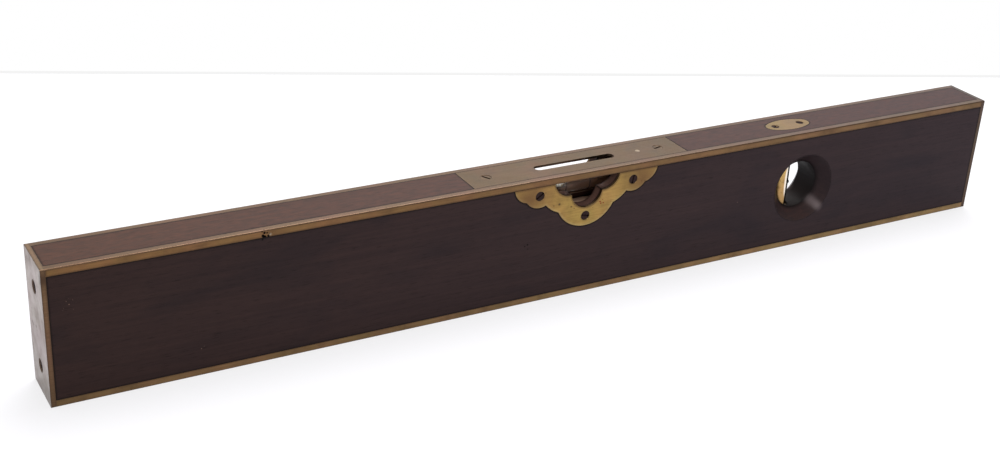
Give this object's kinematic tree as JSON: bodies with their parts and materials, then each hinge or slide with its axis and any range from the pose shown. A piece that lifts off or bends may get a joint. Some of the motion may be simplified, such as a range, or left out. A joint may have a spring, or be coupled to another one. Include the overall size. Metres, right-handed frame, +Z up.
{
  "type": "plumb and level",
  "caption": "Brass-bound rosewood plumb and level with a slotted top plate, lobed sight windows, a hinged adjustable level vial and a plumb vial in a round port.",
  "frame": {"origin": "middle of the sole, on the surface that the level stands on", "axes": "+X along the length towards the end with the plumb port, -Y out of the front face, +Z up to the top plate"},
  "size_m": [0.6604, 0.0338, 0.0825],
  "materials": {
    "rosewood": "waxed dark rosewood, fine open grain",
    "binding_brass": "aged rolled brass, worn at the edges",
    "top_brass": "dull handled brass plate",
    "side_brass": "brighter brass plate with small dark spots",
    "case_brass": "drawn brass tube",
    "browned_screws": "browned slotted wood screws",
    "steel_pins": "dull steel",
    "vial_glass": "clear drawn glass tube",
    "spirit": "faintly yellow alcohol",
    "bubble": "air and vapour",
    "plaster": "plaster of Paris"
  },
  "bodies": {
    "level": {"stock": "rosewood", "front_top_binding": "binding_brass", "rear_top_binding": "binding_brass", "front_sole_binding": "binding_brass", "rear_sole_binding": "binding_brass", "left_end_plate": "binding_brass", "right_end_plate": "binding_brass", "end_plate_screws": "browned_screws", "top_plate": "top_brass", "top_plate_screws": "top_brass", "front_side_plate": "side_brass", "rear_side_plate": "side_brass", "side_plate_screws": "browned_screws", "plumb_cover": "side_brass", "plumb_cover_screws": "browned_screws", "level_hinge_bracket": "case_brass", "level_hinge_pin": "steel_pins", "level_spring": "steel_pins", "plumb_vial": "vial_glass", "plumb_spirit": "spirit", "plumb_vial_plaster": "plaster", "plumb_vial_case": "case_brass"},
    "vial_case": {"level_vial_case": "case_brass", "level_vial": "vial_glass", "level_spirit": "spirit", "level_vial_plaster": "plaster"},
    "level_bubble": {"level_bubble": "bubble"},
    "adjusting_screw": {"level_adjusting_screw": "top_brass"},
    "plumb_bubble": {"plumb_bubble": "bubble"}
  },
  "joints": [
    {"name": "vial_case_tilt", "type": "hinge", "parent": "level", "child": "vial_case", "pos_m": [-0.0465, 0, 0.0696], "axis": [0, -1, 0], "range_deg": [-0.6, 0.6], "deforming": ["level_spring"]},
    {"name": "adjusting_screw_turn", "type": "hinge", "parent": "level", "child": "adjusting_screw", "pos_m": [0.0465, 0, 0.07], "axis": [0, 0, -1], "range_deg": [-440, 440]},
    {"name": "level_bubble_slide", "type": "slide", "parent": "vial_case", "child": "level_bubble", "axis": [1, 0, 0], "range_m": [-0.024, 0.024], "stiffness_N_per_m": 1},
    {"name": "plumb_bubble_slide", "type": "slide", "parent": "level", "child": "plumb_bubble", "axis": [0, 0, 1], "range_m": [-0.0338, 0], "stiffness_N_per_m": 2, "springref_m": 0.02}
  ],
  "couplings": [
    {"joint": "adjusting_screw_turn", "follows": "vial_case_tilt", "ratio": 730.4}
  ]
}
